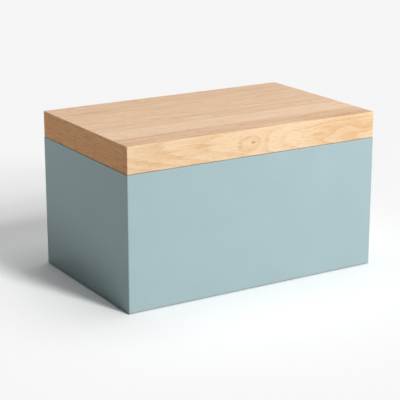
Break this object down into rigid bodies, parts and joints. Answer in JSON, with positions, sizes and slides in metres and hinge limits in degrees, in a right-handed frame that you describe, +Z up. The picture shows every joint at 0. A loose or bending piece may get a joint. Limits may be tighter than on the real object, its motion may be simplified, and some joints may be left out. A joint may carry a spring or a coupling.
{
  "type": "lidded dough box",
  "caption": "Rectangular lidded box for bread or dough: folded sheet-steel body with a satin finish, thick solid-oak lid hinged at the back on stop hinges.",
  "frame": {"origin": "on the supporting surface, under the middle of the body (the centre of the bounding box's bottom, less half of what the hinges stand out behind)", "axes": "+X along the width, to the right as seen from the front; +Y to the back, where the hinges are; +Z up"},
  "size_m": [0.34, 0.2154, 0.194],
  "materials": {
    "body_paint": "satin powder coat, dusty blue",
    "lid_oak": "light oak, matt oil",
    "batten_oak": "light oak, unfinished",
    "hinge_steel": "satin stainless steel",
    "zinc_steel": "bright zinc plating",
    "foot_rubber": "matt",
    "bumper_silicone": "clear, slightly cloudy"
  },
  "bodies": {
    "box": {"body_wrap": "body_paint", "base_pan": "body_paint", "rim_frame": "body_paint", "front_left_foot": "foot_rubber", "front_right_foot": "foot_rubber", "back_left_foot": "foot_rubber", "back_right_foot": "foot_rubber", "left_bumper": "bumper_silicone", "right_bumper": "bumper_silicone", "left_backing_plate": "zinc_steel", "right_backing_plate": "zinc_steel", "left_hinge_body_leaf": "hinge_steel", "right_hinge_body_leaf": "hinge_steel", "left_hinge_pin": "hinge_steel", "right_hinge_pin": "hinge_steel", "hinge_body_screws": "hinge_steel"},
    "lid": {"lid_stave_1": "lid_oak", "lid_stave_2": "lid_oak", "lid_stave_3": "lid_oak", "lid_stave_4": "lid_oak", "lid_stave_5": "lid_oak", "lid_stave_6": "lid_oak", "left_batten": "batten_oak", "right_batten": "batten_oak", "batten_screws": "zinc_steel", "left_hinge_lid_leaf": "hinge_steel", "right_hinge_lid_leaf": "hinge_steel", "hinge_lid_screws": "hinge_steel"}
  },
  "joints": [
    {"name": "lid_hinge", "type": "hinge", "parent": "box", "child": "lid", "pos_m": [0, 0.106, 0.1647], "axis": [-1, 0, 0], "range_deg": [0, 95]}
  ]
}
